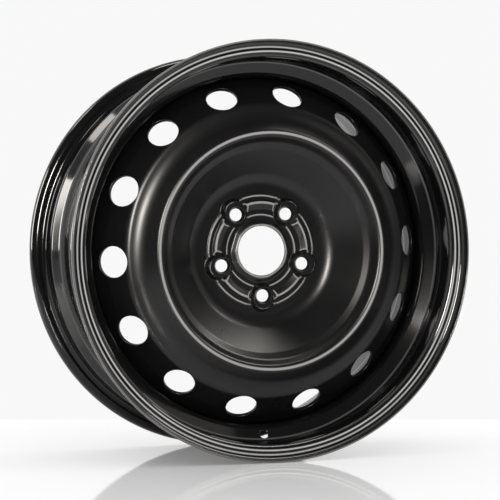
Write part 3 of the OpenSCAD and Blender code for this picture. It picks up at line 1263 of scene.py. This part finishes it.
    def _skirt_edge(self) -> Profile:
        """Makes the sheared edge at the skirt's end, with its corners broken.

        Returns:
            The edge from the outer side to the inner.
        """
        end = self.path()[-1]
        turns = np.radians([0.0, *ROLLED])
        spoke = np.stack([np.cos(turns), np.sin(turns)], axis=-1)
        mirrored = spoke[::-1] * [-1.0, 1.0]
        outer = np.array([end.r - self.edge_round, end.y - self.edge_round])
        inner = np.array([end.r - self.sheet + self.edge_round, end.y - self.edge_round])
        points = np.vstack([outer + spoke * self.edge_round, inner + mirrored * self.edge_round])
        return Profile(points, np.vstack([spoke, mirrored]))

    def _vent_frame(self, angle: float) -> HoleFrame:
        """Works out the frame of a vent hole, square to the vent face.

        Args:
            angle: Angle of the hole round the axle, in radians.

        Returns:
            The frame, with its axis outboard.
        """
        path = self.path()
        inner, outer = path[self.VENT_INNER], path[self.VENT_OUTER]
        lean = math.atan2(outer.y - inner.y, outer.r - inner.r)
        return HoleFrame(
            round_wheel(inner.r + self.vent_inset, inner.y + self.vent_inset * math.tan(lean), angle),
            onward(angle),
            round_wheel(math.cos(lean), math.sin(lean), angle),
            round_wheel(math.sin(lean), -math.cos(lean), angle),
        )

    def _vent_block(self, run: Profile, start: int, hole: RoundHole, column: int) -> Block:
        """Finds the cells that a vent hole takes up on one side of the sheet.

        Args:
            run: Profile of that side.
            start: Row of the side's first point.
            hole: The vent hole.
            column: The hole's own column.

        Returns:
            The block.
        """
        centre, reach = hole.frame.centre, hole.radius + hole.edge + self.slope_margin
        line = round_wheel(run.points[:, 0], run.points[:, 1], self.angles[column])
        near = np.flatnonzero(np.abs(hole.frame.plan(line)[:, 1]) < reach)
        near = near[run.points[near, 0] > self.vent_from_r]
        half = math.ceil(reach / np.linalg.norm(centre[[0, 2]]) / (self.angles[1] - self.angles[0]))
        return Block.about(column, half, self.columns, start + near[0] - 1, start + near[-1] + 1)

    def _bolt_angles(self) -> np.ndarray:
        """Returns the angles of the bolt holes, in radians."""
        return math.radians(self.bolt_angle) + np.arange(self.bolt_count) * 2 * math.pi / self.bolt_count

    def _front_height(self, base: Profile, x: np.ndarray, z: np.ndarray) -> np.ndarray:
        """Works out how far the hub's outboard side stands out from the mounting face.

        Args:
            base: Outboard side of the plain disc.
            x: Places across the wheel.
            z: Places up the wheel.

        Returns:
            Heights towards the outboard side.
        """
        r = np.hypot(x, z)
        plate = -np.interp(r, base.points[:, 0], base.points[:, 1])
        ring_slope = self.ring_height / self.ring_edge_w
        inner, outer = (r - self.ring_inner_r) * ring_slope, (self.ring_outer_r - r) * ring_slope
        ring = smooth_min(inner, outer, self.fillet)
        ring = smooth_min(ring, np.full_like(r, self.ring_height), self.fillet / 2)
        slope = math.radians(self.rib_slope)
        crest = self.rib_inner_r + self.rib_height / math.tan(slope) + self.rib_bend * math.tan(slope / 2)
        fall = np.maximum(crest - r, 0.0)
        arc = self.rib_bend - np.sqrt(np.maximum(self.rib_bend**2 - fall**2, 0.0))
        straight = fall * math.tan(slope) - self.rib_bend * (1 / math.cos(slope) - 1)
        rib = self.rib_height - np.where(fall < self.rib_bend * math.sin(slope), arc, straight)
        rib = smooth_min(rib, (self.rib_outer_r - r) * self.rib_height / self.rib_outer_w, self.fillet)
        collar_slope = self.collar_height / self.collar_slope_w
        foot = self.bore_d / 2 + self.collar_edge_w + self.collar_slope_w
        collar = (foot + self.collar_corner - r) * collar_slope
        boss = np.full_like(r, self.NO_BOSS)
        for angle in self._bolt_angles():
            out, side = math.cos(angle), math.sin(angle)
            p, q = x * out - z * side - self.bolt_circle_r, -x * side - z * out
            rib = smooth_min(rib, (np.hypot(p, q) - self.rib_gap_r) / self.rib_end_slope, self.fillet)
            share = np.clip(p / self.boss_reach, 0.0, 1.0)
            away = np.hypot(p - share * self.boss_reach, q)
            top_r = self.boss_top_d / 2 + share * self.boss_flare
            rise = (top_r + self.boss_slope_w - away) / self.boss_slope_w * self.boss_height
            boss = np.maximum(boss, rise)
            half = angle + math.pi / self.bolt_count
            flat = (foot - (x * math.cos(half) - z * math.sin(half))) * collar_slope
            collar = smooth_min(collar, flat, self.fillet)
        boss = smooth_min(boss, np.full_like(r, self.boss_height), self.fillet)
        collar = smooth_min(collar, np.full_like(r, self.collar_height), self.fillet)
        top = smooth_max(np.zeros_like(r), ring, self.fillet / 2)
        top = smooth_max(top, rib + self.ring_height, self.fillet)
        top = smooth_max(top, collar, self.fillet)
        top = smooth_max(top, boss, self.fillet)
        return plate + np.where(r < self.hub_r - self.hub_margin, top, 0.0)

    def _back_height(self, base: Profile, x: np.ndarray, z: np.ndarray) -> np.ndarray:
        """Works out the hub's mounting side, with the hollows behind the stamping.

        Args:
            base: Inboard side of the plain disc.
            x: Places across the wheel.
            z: Places up the wheel.

        Returns:
            Heights towards the outboard side.
        """
        r = np.hypot(x, z)
        plate = -np.interp(r, base.points[:, 0], base.points[:, 1])
        top_r = self.bore_d / 2 + self.collar_edge_w
        sloped = np.clip((top_r + self.collar_slope_w - r) / self.collar_slope_w, 0.0, 1.0)
        hollow = sloped * self.collar_relief
        middle = (self.rib_inner_r + self.rib_outer_r) / 2
        groove = np.sqrt(np.maximum(self.rib_relief_depth**2 - (r - middle) ** 2, 0.0))
        hollow = smooth_max(hollow, groove, self.fillet / 4)
        for angle in self._bolt_angles():
            across, up = self.bolt_circle_r * math.cos(angle), -self.bolt_circle_r * math.sin(angle)
            away = np.hypot(x - across, z - up)
            foot = self.boss_relief_d / 2 + self.boss_slope_w
            pocket = (foot - away) / self.boss_slope_w * self.boss_relief
            hollow = smooth_max(hollow, np.minimum(pocket, self.boss_relief), self.fillet)
        return plate + hollow

    def _placer(self, frame: HoleFrame, height: Height, facing: float) -> Placer:
        """Makes the function that finds the hub's surface under a hole's plan.

        Args:
            frame: Frame whose axis is the outboard direction.
            height: Height of the surface over the mounting face by place.
            facing: 1 for the outboard side, -1 for the mounting side.

        Returns:
            The function from plan to points and normals.
        """

        def place(plan: np.ndarray) -> tuple[np.ndarray, np.ndarray]:
            """Finds the surface under a plan.

            Args:
                plan: Points across the frame, in its two directions.

            Returns:
                Points on the surface and its normals there.
            """
            flat = frame.lifted(plan, np.zeros(plan.shape[:-1]))
            x, z = flat[..., 0], flat[..., 2]
            dx = (height(x + self.probe, z) - height(x - self.probe, z)) / (2 * self.probe)
            dz = (height(x, z + self.probe) - height(x, z - self.probe)) / (2 * self.probe)
            points = np.stack([x, -height(x, z), z], axis=-1)
            return points, facing * unit(np.stack([-dx, np.full_like(dx, -1.0), -dz], axis=-1))

        return place

    def _hub(
        self, skin: Skin, front: Profile, back: Profile, front_row: np.ndarray, back_row: np.ndarray
    ) -> None:
        """Builds both sides of the hub, the centre bore and the bolt holes.

        Args:
            skin: Skin that takes the vertices and faces.
            front: Outboard side of the plain disc.
            back: Inboard side of the plain disc.
            front_row: Row of vertices where the outboard side joins the bowl.
            back_row: Row of vertices where the inboard side joins the bowl.
        """
        sides = (
            (lambda x, z: self._front_height(front, x, z), 1.0, self.front_row, front_row),
            (lambda x, z: self._back_height(back, x, z), -1.0, self.back_row, back_row),
        )
        flat = HoleFrame(np.zeros(3), np.array([1.0, 0.0, 0.0]), np.array([0.0, 0.0, -1.0]), OUTBOARD)
        spoke = np.stack([np.cos(self.angles), np.sin(self.angles)], axis=-1)
        inmost = self.bore_d / 2 + self.bore_edge
        bores: list[np.ndarray] = []
        bolts: list[list[HoleMouth]] = []
        for height, facing, step, join_row in sides:
            count = math.ceil((self.hub_r - inmost) / step)
            radii = np.linspace(inmost, self.hub_r - step / 2, count)
            points, normals = self._placer(flat, height, facing)(radii[:, None, None] * spoke)
            # Edges of the hub get painted highlights.
            index = np.vstack([skin.add(points, normals, highlit=True), join_row[None]])
            keep = np.ones((count, self.columns), dtype=bool)
            bolts.append([])
            for angle in self._bolt_angles():
                block = self._bolt_block(radii, angle)
                block.cut(keep)
                bolts[-1].append(self._bolt_mouth(skin, block.border(index), angle, height, facing))
            skin.grid(index, keep)
            bores.append(self._bore_mouth(skin, index[0], points[0], normals[0], facing))
        skin.bands(bores)
        for outer, inner in zip(*bolts):
            skin.zipped(outer, inner)

    def _bore_mouth(
        self, skin: Skin, row: np.ndarray, points: np.ndarray, normals: np.ndarray, facing: float
    ) -> np.ndarray:
        """Rolls the hub's innermost row into the centre bore.

        Args:
            skin: Skin that takes the vertices and faces.
            row: Indices of the innermost row.
            points: Its places.
            normals: Its normals.
            facing: 1 for the outboard side, -1 for the mounting side.

        Returns:
            The ring on the bore's wall.
        """
        outwards = round_wheel(1.0, 0.0, self.angles)
        rows = [row, *skin.rolled(points, normals, outwards, OUTBOARD * facing, self.bore_edge)]
        skin.bands(rows)
        return rows[-1]

    def _bolt_block(self, radii: np.ndarray, angle: float) -> Block:
        """Finds the cells of the hub's grid that a bolt boss takes up.

        Args:
            radii: Radii of the grid's rows.
            angle: The bolt hole's angle.

        Returns:
            The block.
        """
        reach = self.boss_top_d / 2 + self.boss_slope_w + self.slope_margin / 2
        near = np.flatnonzero(np.abs(radii - self.bolt_circle_r) < reach)
        step = self.angles[1] - self.angles[0]
        middle = round((angle - self.angles[0]) / step)
        half = math.ceil(math.asin(reach / self.bolt_circle_r) / step) + 1
        return Block.about(middle, half, self.columns, near[0], near[-1])

    def _bolt_mouth(
        self, skin: Skin, border: np.ndarray, angle: float, height: Height, facing: float
    ) -> HoleMouth:
        """Builds the ground round a bolt hole, and the conical seat on the outboard side.

        Args:
            skin: Skin that takes the vertices and faces.
            border: Indices round the block.
            angle: The bolt hole's angle.
            height: Height of the surface over the mounting face by place.
            facing: 1 for the outboard side, -1 for the mounting side.

        Returns:
            The last ring, on the hole's wall.
        """
        centre, outwards = round_wheel(self.bolt_circle_r, 0.0, angle), round_wheel(1.0, 0.0, angle)
        frame = HoleFrame(centre, onward(angle), outwards, OUTBOARD)
        radius = self.seat_d / 2 if facing > 0 else self.bolt_hole_d / 2
        rings = self.boss_rings if facing > 0 else self.vent_rings
        hole = RoundHole(frame, radius, self.seat_edge, rings)
        # Only edges outside the boss's foot get the painted highlight.
        highlight_from = self.boss_top_d / 2 + self.boss_slope_w
        mouth = hole.mouth(skin, border, self._placer(frame, height, facing), facing, highlight_from)
        return self._bolt_seat(skin, frame, mouth) if facing > 0 else mouth

    def _bolt_seat(self, skin: Skin, frame: HoleFrame, mouth: HoleMouth) -> HoleMouth:
        """Builds the conical seat between the top of a boss and its bolt hole.

        Args:
            skin: Skin that takes the vertices and faces.
            frame: The hole's frame.
            mouth: Ring at the top of the seat.

        Returns:
            The last ring, on the bolt hole's wall.
        """
        lean = math.radians(self.seat_angle / 2)
        width = (self.seat_d - self.bolt_hole_d) / 2
        depth = width / math.tan(lean)
        top = self.sheet + self.boss_height - self.seat_edge
        spoke = np.cos(mouth.angles)[:, None] * frame.across + np.sin(mouth.angles)[:, None] * frame.along
        cone = unit(-spoke * math.cos(lean) + OUTBOARD * math.sin(lean))
        slope = [(share, cone) for share in self.SEAT_SHARES]
        rows = [mouth.ring]
        for share, normals in (*slope, (1.0, unit(cone - spoke)), (self.SEAT_FOOT, -spoke)):
            r = self.seat_d / 2 - min(share, 1.0) * width
            rows.append(skin.add(frame.centre + spoke * r + OUTBOARD * (top - depth * share), normals))
        skin.bands(rows)
        return HoleMouth(rows[-1], mouth.angles)


@dataclass
class WeldBeads(SubAssembly):
    """Rippled fillet welds between the skirt's edge and the drop well."""

    PIECE: ClassVar[str] = "weld_fillets"
    NODE: ClassVar[str] = "weld_beads"
    SLOT: ClassVar[MaterialSlot] = MaterialSlot.WELD
    FINISH: ClassVar[PaintFinish] = WELD_PAINT
    corner_r: float = 208.68
    corner_y: float = 29.27
    leg: float = 4.0
    count: int = 8
    arc: float = 27.0
    ripple_pitch: float = 2.6
    ripple_lag: float = 0.6
    ripple: float = 0.07
    taper: float = 6.0
    wander: float = 0.06
    wave_lengths: tuple[float, float] = (4.0, 11.0)
    wave_count: int = 3
    thinnest: float = 0.05
    seed: int = 7
    section_steps: int = 10
    run_step: float = 0.45

    def skin(self) -> Skin:
        """Builds all the beads.

        Returns:
            One skin for them.
        """
        skin = Skin()
        draws = np.random.default_rng(self.seed)
        for k in range(self.count):
            self._bead(skin, math.radians((k + 0.5) * 360 / self.count), draws)
        return skin

    def _bead(self, skin: Skin, middle: float, draws: np.random.Generator) -> None:
        """Builds one bead round its middle angle.

        Args:
            skin: Skin that takes the vertices and faces.
            middle: Angle of the bead's middle, in radians.
            draws: Source of the bead's unevenness.
        """
        length = self.corner_r * math.radians(self.arc)
        count = math.ceil(length / self.run_step)
        along = np.linspace(0.0, length, count)
        ends = np.clip(np.minimum(along, length - along) / self.taper, 0.0, 1.0)
        swell = np.sqrt(1.0 - (1.0 - ends) ** 2)
        lengths = draws.uniform(*self.wave_lengths, self.wave_count)
        waves = sum(np.sin(along / w + draws.uniform(0, 2 * math.pi)) for w in lengths) / self.wave_count
        turns = np.linspace(0.0, math.pi / 2, self.section_steps)
        lag = self.ripple_pitch * self.ripple_lag * np.sin(2 * turns)
        phase = (along[:, None] + lag[None, :]) / self.ripple_pitch
        scale = 1.0 - self.ripple * 2 * np.abs(phase % 1.0 - 0.5) - self.wander * (1 + waves[:, None]) / 2
        reach = np.maximum(self.leg * swell[:, None] * scale, self.thinnest)
        angle = middle + (along - length / 2)[:, None] / self.corner_r
        radius, place = self.corner_r - reach * np.sin(turns), self.corner_y + reach * np.cos(turns)
        points = round_wheel(radius, place, angle)
        normals = np.cross(np.gradient(points, axis=1), np.gradient(points, axis=0))
        spoke = round_wheel(-np.sin(turns)[None, :], np.cos(turns)[None, :], angle)
        normals *= np.sign(np.einsum("ijk,ijk->ij", normals, spoke))[..., None]
        index = skin.add(points, normals)
        root = round_wheel(self.corner_r, self.corner_y, angle)
        back = skin.add(root, -spoke[:, self.section_steps // 2][:, None])
        skin.grid(np.concatenate([index, back], axis=1))


@dataclass(frozen=True)
class Panel:
    """Lamp aimed at the hub: direction in degrees, distance and size in metres, and radiance."""

    azimuth: float
    rise: float
    distance: float
    width: float
    height: float
    radiance: float


class Softbox(Enum):
    """Panels that the paint mirrors."""

    FRONT = Panel(-25.5, 12.0, 5.0, 0.6, 1.5, 70.0)
    SIDE = Panel(-112.0, 14.0, 2.0, 0.5, 1.0, 16.0)
    HIGH = Panel(-118.0, 50.0, 2.0, 0.4, 0.4, 8.0)
    TOP = Panel(76.0, 63.0, 2.0, 0.5, 2.5, 9.0)
    RIGHT = Panel(76.0, -6.0, 2.0, 0.25, 0.6, 10.0)
    FILL = Panel(66.0, 26.0, 2.2, 1.6, 1.6, 0.5)


@dataclass
class Studio:
    """White table, soft lamps, pale surroundings with a dark room in front, and the camera."""

    floor_z: float
    floor_near: float = 1.3
    floor_far: float = 2.53
    floor_half: float = 4.0
    floor_shade: float = 0.94
    floor_roughness: float = 0.05
    floor_gloss: float = 0.14
    floor_lift: float = 0.14
    room_start: float = 0.5
    room_end: float = 0.1
    room_level: float = 0.09
    white: float = 0.94
    lamp_tint: tuple[float, float, float] = (1.0, 0.96, 0.9)
    eye: Vector = field(default_factory=lambda: Vector((-0.7269, -1.97295, 0.0155)))
    look: Vector = field(default_factory=lambda: Vector((0.3407, 0.9402, -0.007)))
    lens: float = 125.47
    sensor: float = 36.0

    def build(self) -> None:
        """Builds the studio and sets the scene's camera."""
        self._floor()
        self._world()
        for box in Softbox:
            self._lamp(box)
        self._camera()
        bpy.context.scene.view_settings.view_transform = "Standard"

    def _floor(self) -> None:
        """Lays the table, square to the camera's view."""
        ahead = Vector((self.look.x, self.look.y, 0.0)).normalized()
        across = Vector((ahead.y, -ahead.x, 0.0)) * self.floor_half
        foot = Vector((self.eye.x, self.eye.y, self.floor_z))
        near, far = foot + ahead * self.floor_near, foot + ahead * self.floor_far
        mesh = bpy.data.meshes.new("floor")
        mesh.from_pydata([near - across, near + across, far + across, far - across], [], [(0, 1, 2, 3)])
        mesh.materials.append(self._table_white())
        floor = bpy.data.objects.new("floor", mesh)
        bpy.context.collection.objects.link(floor)
        floor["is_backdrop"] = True

    def _table_white(self) -> bpy.types.Material:
        """Makes the table's glossy white, which the camera sees a little lifted.

        Returns:
            The new material.
        """
        material = bpy.data.materials.new("white_table")
        material.use_nodes = True
        tree = material.node_tree
        shader = tree.nodes["Principled BSDF"]
        shade = self.floor_shade
        shader.inputs["Base Color"].default_value = (shade, shade, shade, 1.0)
        shader.inputs["Roughness"].default_value = self.floor_roughness
        shader.inputs["Specular IOR Level"].default_value = self.floor_gloss
        shader.inputs["Emission Color"].default_value = WHITE
        path = tree.nodes.new("ShaderNodeLightPath")
        lift = tree.nodes.new("ShaderNodeMath")
        lift.operation = "MULTIPLY"
        lift.inputs[1].default_value = self.floor_lift
        tree.links.new(path.outputs["Is Camera Ray"], lift.inputs[0])
        tree.links.new(lift.outputs[0], shader.inputs["Emission Strength"])
        return material

    def _world(self) -> None:
        """Makes the pale surroundings; gloss mirrors a dark room on the outboard side of the wheel."""
        world = bpy.data.worlds.new("studio")
        bpy.context.scene.world = world
        world.use_nodes = True
        tree = world.node_tree
        background = tree.nodes["Background"]
        where = tree.nodes.new("ShaderNodeTexCoord")
        split = tree.nodes.new("ShaderNodeSeparateXYZ")
        tree.links.new(where.outputs["Generated"], split.inputs[0])
        room = tree.nodes.new("ShaderNodeMapRange")
        room.interpolation_type = "SMOOTHSTEP"
        room.inputs["From Min"].default_value = self.room_start
        room.inputs["From Max"].default_value = self.room_end
        room.inputs["To Min"].default_value = self.white
        room.inputs["To Max"].default_value = self.room_level
        tree.links.new(split.outputs["Y"], room.inputs["Value"])
        path = tree.nodes.new("ShaderNodeLightPath")
        level = tree.nodes.new("ShaderNodeMix")
        level.inputs["A"].default_value = self.white
        tree.links.new(path.outputs["Is Glossy Ray"], level.inputs["Factor"])
        tree.links.new(room.outputs["Result"], level.inputs["B"])
        tree.links.new(level.outputs["Result"], background.inputs["Strength"])
        background.inputs["Color"].default_value = WHITE

    def _lamp(self, box: Softbox) -> None:
        """Hangs one panel that only shines in the paint's gloss.

        Args:
            box: The panel.
        """
        panel = box.value
        turn, rise = math.radians(panel.azimuth), math.radians(panel.rise)
        lamp = bpy.data.lights.new(f"softbox_{box.name.lower()}", "AREA")
        lamp.shape, lamp.size, lamp.size_y = "RECTANGLE", panel.width, panel.height
        lamp.energy = panel.radiance * math.pi * panel.width * panel.height
        lamp.color = self.lamp_tint
        holder = bpy.data.objects.new(lamp.name, lamp)
        way = Vector((math.sin(turn) * math.cos(rise), -math.cos(turn) * math.cos(rise), math.sin(rise)))
        holder.location = way * panel.distance
        # A panel below the hub lies flat and shines up.
        facing = Vector((0.0, 0.0, 1.0)) if panel.rise < 0.0 else -way
        holder.rotation_euler = facing.to_track_quat("-Z", "Y").to_euler()
        holder.visible_diffuse = False
        holder.visible_camera = False
        bpy.context.collection.objects.link(holder)

    def _camera(self) -> None:
        """Sets the camera where the photograph was taken."""
        camera = bpy.data.cameras.new("camera")
        camera.lens, camera.sensor_width = self.lens, self.sensor
        holder = bpy.data.objects.new("camera", camera)
        holder.location = self.eye
        holder.rotation_euler = self.look.to_track_quat("-Z", "Y").to_euler()
        bpy.context.collection.objects.link(holder)
        bpy.context.scene.camera = holder


def main() -> None:
    """Builds the wheel and its studio in order."""
    logging.basicConfig(level=logging.INFO, format="%(message)s")
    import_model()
    solid_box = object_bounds()
    shop = PaintShop()
    for part in (WheelRim(), WheelDisc(), WeldBeads()):
        piece = part.build(shop)
        LOG.info("%s: %d faces, for %s", piece.name, len(piece.data.polygons), part.NODE)
    Studio(floor_z=float(solid_box[0][2])).build()


if __name__ == "__main__":
    main()
